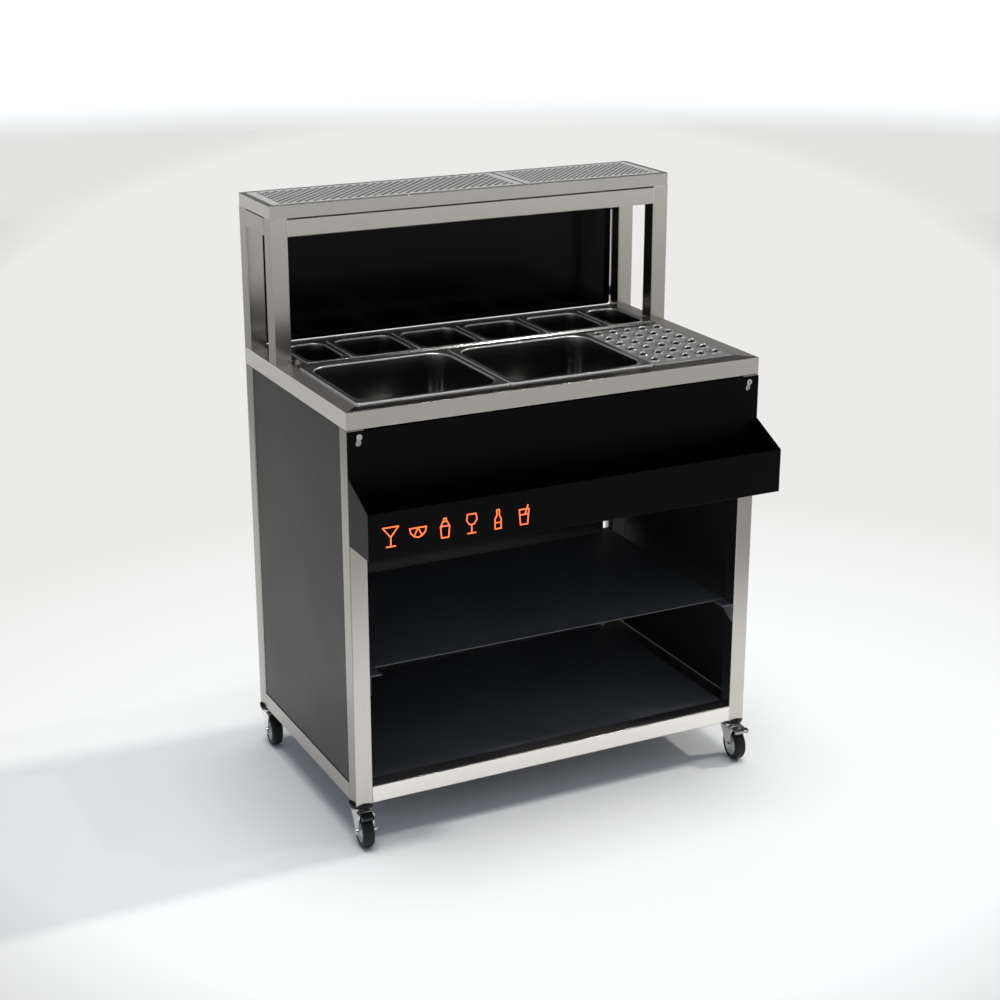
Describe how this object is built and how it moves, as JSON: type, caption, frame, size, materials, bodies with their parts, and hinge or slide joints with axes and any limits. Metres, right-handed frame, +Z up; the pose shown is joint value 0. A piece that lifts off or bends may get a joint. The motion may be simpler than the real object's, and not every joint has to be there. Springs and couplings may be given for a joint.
{
  "type": "mobile cocktail station",
  "caption": "Square-tube bar cart on swivel casters with lift-out pans, louvred drainer, hooked bottle rail, shelves and a perforated overshelf.",
  "frame": {"origin": "on the floor, at the middle of the whole cart seen from above", "axes": "+X to the right along the front, +Y from the front to the rear, +Z up"},
  "size_m": [1.0138, 0.7186, 1.344],
  "materials": {
    "frame_steel": "fine brushed stainless steel",
    "pan_steel": "satin stainless steel with polished edges",
    "drainer_steel": "satin stainless steel",
    "grille_steel": "satin perforated stainless steel",
    "screw_steel": "bright zinc",
    "chrome": "bright plated steel",
    "gloss_black": "glossy black powder coat",
    "side_black": "satin black powder coat",
    "shelf_black": "satin black powder coat",
    "rail_black": "satin black powder coat",
    "black_plastic": "moulded black plastic",
    "pedal_black": "satin black",
    "hub_plastic": "light grey moulded plastic",
    "tyre": "smooth dark rubber",
    "lit_orange": "lit orange-red strip"
  },
  "bodies": {
    "frame": {"cabinet_post_front_left": "frame_steel", "cabinet_post_front_right": "frame_steel", "cabinet_post_rear_left": "frame_steel", "cabinet_post_rear_right": "frame_steel", "post_plugs": "black_plastic", "base_rails_long": "frame_steel", "base_rails_short": "frame_steel", "worktop_rails_long": "frame_steel", "worktop_rails_short": "frame_steel", "pan_cross_bar": "frame_steel", "pan_ledges": "frame_steel", "pan_dividers": "frame_steel", "overshelf_post_front_left": "frame_steel", "overshelf_post_front_right": "frame_steel", "overshelf_post_rear_left": "frame_steel", "overshelf_post_rear_right": "frame_steel", "overshelf_bars_long": "frame_steel", "overshelf_bars_short": "frame_steel", "top_rim": "frame_steel", "upper_panel": "gloss_black", "side_panel_left": "side_black", "side_panel_right": "side_black", "rear_panel": "gloss_black", "floor_panel": "shelf_black", "floor_supports": "frame_steel", "middle_shelf": "shelf_black", "shelf_brackets": "shelf_black", "panel_tabs": "frame_steel", "panel_fixings": "screw_steel", "rail_hook_screws": "screw_steel", "caster_stems": "black_plastic", "swivel_races": "chrome"},
    "large_pan_left": {"large_pan_left": "pan_steel"},
    "large_pan_right": {"large_pan_right": "pan_steel"},
    "small_pan_1": {"small_pan_1": "pan_steel"},
    "small_pan_2": {"small_pan_2": "pan_steel"},
    "small_pan_3": {"small_pan_3": "pan_steel"},
    "small_pan_4": {"small_pan_4": "pan_steel"},
    "small_pan_5": {"small_pan_5": "pan_steel"},
    "small_pan_6": {"small_pan_6": "pan_steel"},
    "drip_tray": {"drip_tray": "pan_steel"},
    "drainer_plate": {"drainer_plate": "drainer_steel"},
    "grille_left": {"grille_left": "grille_steel"},
    "grille_right": {"grille_right": "grille_steel"},
    "bottle_rail": {"bottle_rail": "rail_black", "lit_motif": "lit_orange"},
    "caster_front_left": {"caster_fork_front_left": "chrome"},
    "wheel_front_left": {"wheel_hub_front_left": "hub_plastic", "tyre_front_left": "tyre"},
    "caster_front_right": {"caster_fork_front_right": "chrome"},
    "wheel_front_right": {"wheel_hub_front_right": "hub_plastic", "tyre_front_right": "tyre"},
    "caster_rear_left": {"caster_fork_rear_left": "chrome"},
    "wheel_rear_left": {"wheel_hub_rear_left": "hub_plastic", "tyre_rear_left": "tyre"},
    "caster_rear_right": {"caster_fork_rear_right": "chrome"},
    "wheel_rear_right": {"wheel_hub_rear_right": "hub_plastic", "tyre_rear_right": "tyre"},
    "brake_pedal_left": {"brake_pedal_left": "pedal_black"},
    "brake_pedal_right": {"brake_pedal_right": "chrome"}
  },
  "joints": [
    {"name": "large_pan_left_lift", "type": "slide", "parent": "frame", "child": "large_pan_left", "axis": [0, 0, 1], "range_m": [0, 0.17]},
    {"name": "large_pan_right_lift", "type": "slide", "parent": "frame", "child": "large_pan_right", "axis": [0, 0, 1], "range_m": [0, 0.17]},
    {"name": "small_pan_1_lift", "type": "slide", "parent": "frame", "child": "small_pan_1", "axis": [0, 0, 1], "range_m": [0, 0.11]},
    {"name": "small_pan_2_lift", "type": "slide", "parent": "frame", "child": "small_pan_2", "axis": [0, 0, 1], "range_m": [0, 0.11]},
    {"name": "small_pan_3_lift", "type": "slide", "parent": "frame", "child": "small_pan_3", "axis": [0, 0, 1], "range_m": [0, 0.11]},
    {"name": "small_pan_4_lift", "type": "slide", "parent": "frame", "child": "small_pan_4", "axis": [0, 0, 1], "range_m": [0, 0.11]},
    {"name": "small_pan_5_lift", "type": "slide", "parent": "frame", "child": "small_pan_5", "axis": [0, 0, 1], "range_m": [0, 0.11]},
    {"name": "small_pan_6_lift", "type": "slide", "parent": "frame", "child": "small_pan_6", "axis": [0, 0, 1], "range_m": [0, 0.11]},
    {"name": "drip_tray_lift", "type": "slide", "parent": "frame", "child": "drip_tray", "axis": [0, 0, 1], "range_m": [0, 0.04]},
    {"name": "drainer_plate_lift", "type": "slide", "parent": "drip_tray", "child": "drainer_plate", "axis": [0, 0, 1], "range_m": [0, 0.04]},
    {"name": "grille_left_lift", "type": "slide", "parent": "frame", "child": "grille_left", "axis": [0, 0, 1], "range_m": [0, 0.03]},
    {"name": "grille_right_lift", "type": "slide", "parent": "frame", "child": "grille_right", "axis": [0, 0, 1], "range_m": [0, 0.03]},
    {"name": "bottle_rail_lift", "type": "slide", "parent": "frame", "child": "bottle_rail", "axis": [0, 0, 1], "range_m": [0, 0.014]},
    {"name": "caster_front_left_swivel", "type": "hinge", "parent": "frame", "child": "caster_front_left", "pos_m": [-0.48, -0.2357, 0.086], "axis": [0, 0, 1], "continuous": true},
    {"name": "wheel_front_left_roll", "type": "hinge", "parent": "caster_front_left", "child": "wheel_front_left", "pos_m": [-0.48183, -0.25662, 0.0375], "axis": [0.9962, -0.0872, 0], "continuous": true},
    {"name": "caster_front_right_swivel", "type": "hinge", "parent": "frame", "child": "caster_front_right", "pos_m": [0.48, -0.2357, 0.086], "axis": [0, 0, 1], "continuous": true},
    {"name": "wheel_front_right_roll", "type": "hinge", "parent": "caster_front_right", "child": "wheel_front_right", "pos_m": [0.47817, -0.25662, 0.0375], "axis": [0.9962, -0.0872, 0], "continuous": true},
    {"name": "caster_rear_left_swivel", "type": "hinge", "parent": "frame", "child": "caster_rear_left", "pos_m": [-0.48, 0.3323, 0.086], "axis": [0, 0, 1], "continuous": true},
    {"name": "wheel_rear_left_roll", "type": "hinge", "parent": "caster_rear_left", "child": "wheel_rear_left", "pos_m": [-0.48183, 0.31138, 0.0375], "axis": [0.9962, -0.0872, 0], "continuous": true},
    {"name": "caster_rear_right_swivel", "type": "hinge", "parent": "frame", "child": "caster_rear_right", "pos_m": [0.48, 0.3323, 0.086], "axis": [0, 0, 1], "continuous": true},
    {"name": "wheel_rear_right_roll", "type": "hinge", "parent": "caster_rear_right", "child": "wheel_rear_right", "pos_m": [0.47817, 0.31138, 0.0375], "axis": [0.9962, -0.0872, 0], "continuous": true},
    {"name": "brake_pedal_left_press", "type": "hinge", "parent": "caster_front_left", "child": "brake_pedal_left", "pos_m": [-0.48262, -0.26559, 0.0805], "axis": [0.9962, -0.0872, 0], "range_deg": [0, 10]},
    {"name": "brake_pedal_right_press", "type": "hinge", "parent": "caster_front_right", "child": "brake_pedal_right", "pos_m": [0.47739, -0.26559, 0.0805], "axis": [0.9962, -0.0872, 0], "range_deg": [0, 10]}
  ]
}
